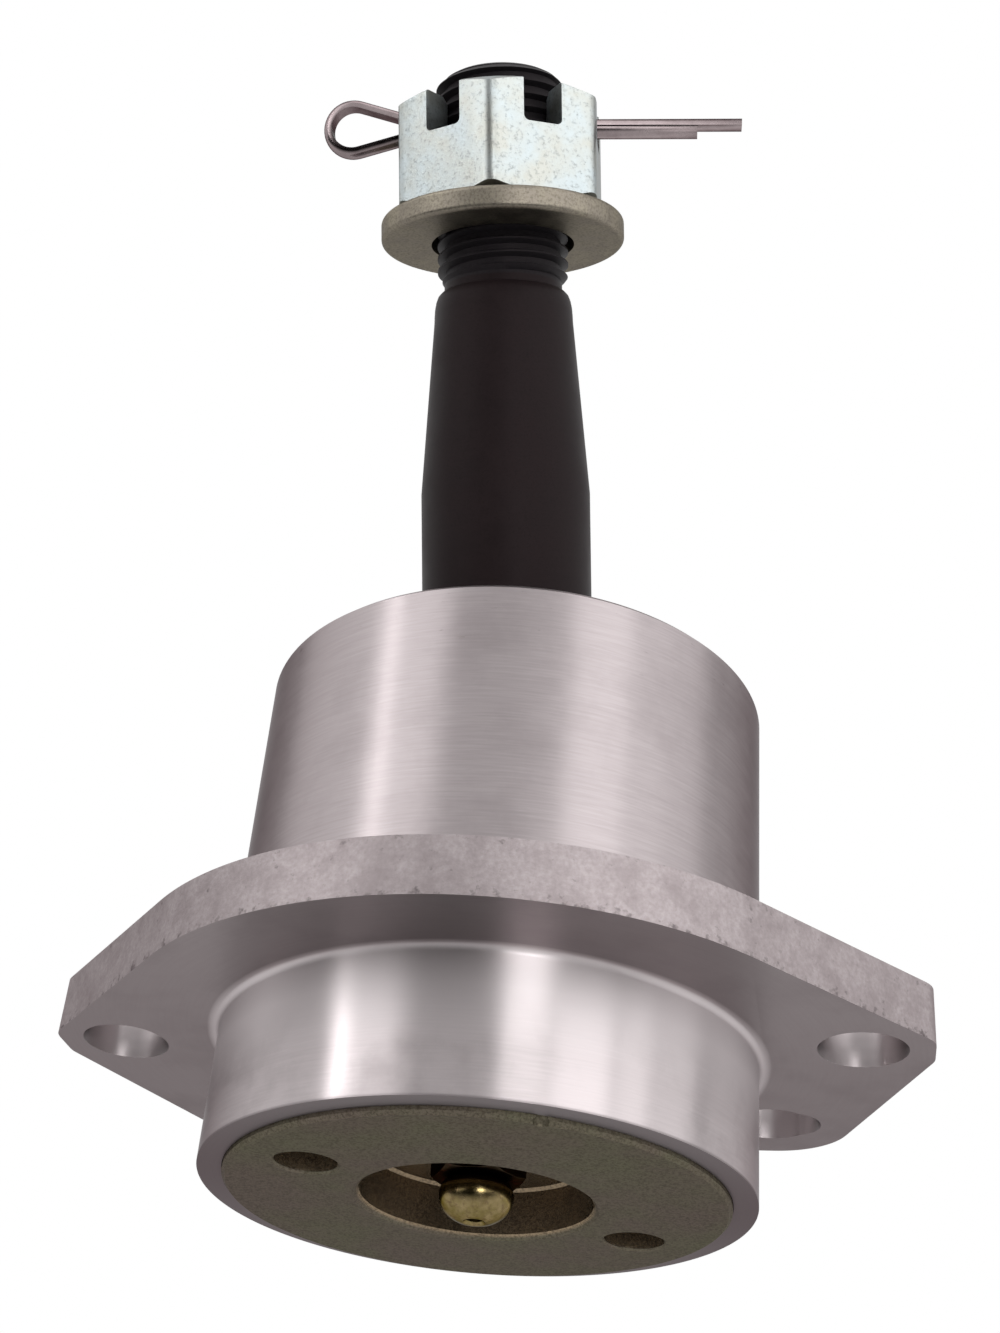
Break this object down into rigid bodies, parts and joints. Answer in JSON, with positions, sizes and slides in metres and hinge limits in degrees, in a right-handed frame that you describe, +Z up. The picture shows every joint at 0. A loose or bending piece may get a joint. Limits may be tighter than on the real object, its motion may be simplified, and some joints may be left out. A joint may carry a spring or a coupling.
{
  "type": "suspension ball joint",
  "caption": "Bolt-in suspension ball joint: turned housing with a bolt flange, screwed cap with grease fitting, and a tapered stud with slotted nut, washer and cotter pin.",
  "frame": {"origin": "centre of the ball, on the housing's axis", "axes": "+Z up the housing's axis towards the opening that the stud leaves by; the stud leans towards -Y at rest, in the flange's mirror plane; +X along the line of the two side bolt holes"},
  "size_m": [0.0844, 0.0753, 0.1149],
  "materials": {
    "machined_aluminium": "satin, turned",
    "seat_bronze": "satin",
    "ball_steel": "polished",
    "black_oxide_steel": "black oxide, satin",
    "clear_zinc_steel": "clear zinc plate",
    "bright_steel": "drawn wire",
    "yellow_zinc_steel": "dull zinc plate",
    "spring_steel": "oiled",
    "dichromate_steel": "dull zinc dichromate",
    "gold_zinc_steel": "gold zinc, bright",
    "black_rubber": "matt"
  },
  "bodies": {
    "housing": {"housing": "machined_aluminium", "upper_seat": "seat_bronze", "preload_spring": "spring_steel", "cap": "dichromate_steel", "cap_o_ring": "black_rubber", "grease_fitting": "gold_zinc_steel", "check_spring": "spring_steel"},
    "lower_seat": {"lower_seat": "seat_bronze"},
    "ball": {"ball": "ball_steel"},
    "stud": {"stud": "black_oxide_steel", "castle_nut": "clear_zinc_steel", "cotter_pin": "bright_steel"},
    "washer": {"washer": "yellow_zinc_steel"},
    "check_ball": {"check_ball": "ball_steel"}
  },
  "joints": [
    {"name": "seat_turn", "type": "hinge", "parent": "housing", "child": "lower_seat", "pos_m": [0, 0, 0], "axis": [0, 0, 1], "continuous": true},
    {"name": "stud_tilt", "type": "hinge", "parent": "lower_seat", "child": "ball", "pos_m": [0, 0, 0], "axis": [-1, 0, 0], "range_deg": [0, 58.9]},
    {"name": "stud_spin", "type": "hinge", "parent": "ball", "child": "stud", "pos_m": [0, 0, 0], "axis": [0, -0.4918, 0.8707], "continuous": true},
    {"name": "washer_slide", "type": "slide", "parent": "stud", "child": "washer", "axis": [0, -0.4918, 0.8707], "range_m": [-0.0105, 0]},
    {"name": "check_ball_slide", "type": "slide", "parent": "housing", "child": "check_ball", "axis": [0, 0, 1], "range_m": [0, 0.0006], "stiffness_N_per_m": 20, "springref_m": -0.001, "deforming": ["check_spring"]}
  ]
}
